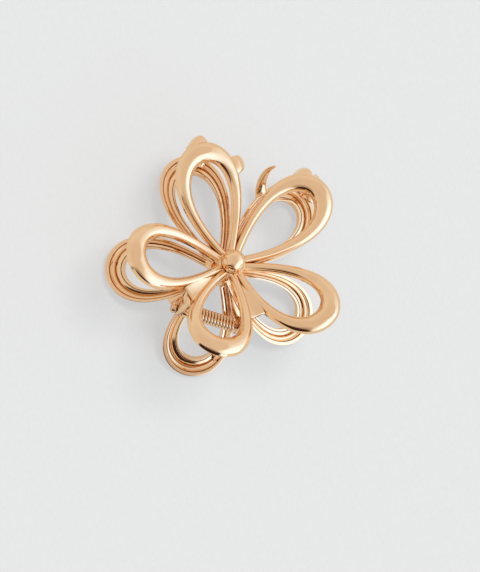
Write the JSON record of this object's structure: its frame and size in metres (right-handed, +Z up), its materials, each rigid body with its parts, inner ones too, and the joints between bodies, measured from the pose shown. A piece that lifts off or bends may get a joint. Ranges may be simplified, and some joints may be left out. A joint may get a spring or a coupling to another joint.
{
  "type": "claw clip",
  "caption": "Sprung metal hair claw of two outward-facing open-loop petal flowers with interlocking claws, joined by a pin with a torsion spring.",
  "frame": {"origin": "middle of the underside: under the centre of the clip's box, on the surface that the back flower's petal tips stand on", "axes": "+X along the hinge pin, +Y from the hinge towards the claws, +Z up, from the back flower to the front one"},
  "size_m": [0.0666, 0.069, 0.0424],
  "materials": {
    "front_flower": "polished rose-gold plating on cast metal",
    "back_flower": "polished rose-gold plating on cast metal",
    "front_bead": "mirror-polished rose-gold plating",
    "back_bead": "mirror-polished rose-gold plating",
    "pin": "plated steel, drawn",
    "spring": "plated spring wire, drawn"
  },
  "bodies": {
    "back_half": {"back_flower": "back_flower", "back_centre_bead": "back_bead", "hinge_pin": "pin", "spring_coil": "spring", "spring_leg_back": "spring"},
    "front_half": {"front_flower": "front_flower", "front_centre_bead": "front_bead", "spring_leg_front": "spring"}
  },
  "joints": [
    {"name": "hinge", "type": "hinge", "parent": "back_half", "child": "front_half", "pos_m": [0, -0.01714, 0.01965], "axis": [1, 0, 0], "range_deg": [0, 75], "stiffness_Nm_per_rad": 0.05, "springref_deg": -45.84, "deforming": ["spring_coil"]}
  ]
}
